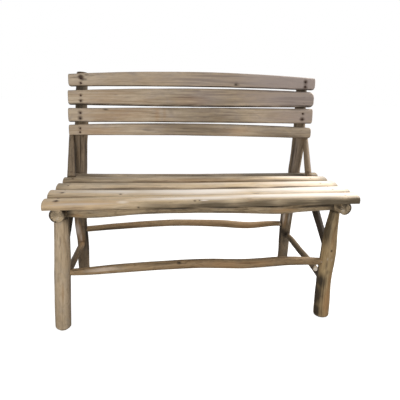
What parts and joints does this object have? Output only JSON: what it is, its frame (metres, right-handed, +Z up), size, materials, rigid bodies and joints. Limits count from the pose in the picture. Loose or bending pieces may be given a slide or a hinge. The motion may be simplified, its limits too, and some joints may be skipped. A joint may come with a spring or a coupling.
{
  "type": "rustic log bench",
  "caption": "Rustic two-seat garden bench with half-round log slats on a seat and reclined back, carried by a jointed frame of crooked round logs.",
  "frame": {"origin": "on the floor, under the middle of the bench's length and depth", "axes": "+X along the bench to the right as seen from in front, +Y from the front to the back, +Z up"},
  "size_m": [1.0088, 0.535, 0.8533],
  "materials": {
    "seat_wood": "bare, weathered, slightly polished by use",
    "back_wood": "bare, weathered grey-tan",
    "log_wood": "peeled round log, bare and weathered",
    "nail_steel": "rusted wire nails"
  },
  "bodies": {
    "root": {"seat_slat_1": "seat_wood", "seat_slat_2": "seat_wood", "seat_slat_3": "seat_wood", "seat_slat_4": "seat_wood", "seat_slat_5": "seat_wood", "back_slat_1": "back_wood", "back_slat_2": "back_wood", "back_slat_3": "back_wood", "back_slat_4": "back_wood", "rear_post_left": "log_wood", "rear_post_right": "log_wood", "front_leg_left": "log_wood", "front_leg_right": "log_wood", "side_rail_left": "log_wood", "side_rail_right": "log_wood", "front_rail": "log_wood", "rear_rail": "log_wood", "front_stretcher": "log_wood", "rear_stretcher": "log_wood", "side_stretcher_left": "log_wood", "side_stretcher_right": "log_wood", "knee_brace_left": "log_wood", "knee_brace_right": "log_wood", "back_strut_left": "log_wood", "back_strut_right": "log_wood", "seat_nails_left": "nail_steel", "seat_nails_right": "nail_steel", "back_nails_left": "nail_steel", "back_nails_right": "nail_steel", "knee_brace_nails": "nail_steel", "back_strut_nails": "nail_steel"}
  },
  "joints": []
}
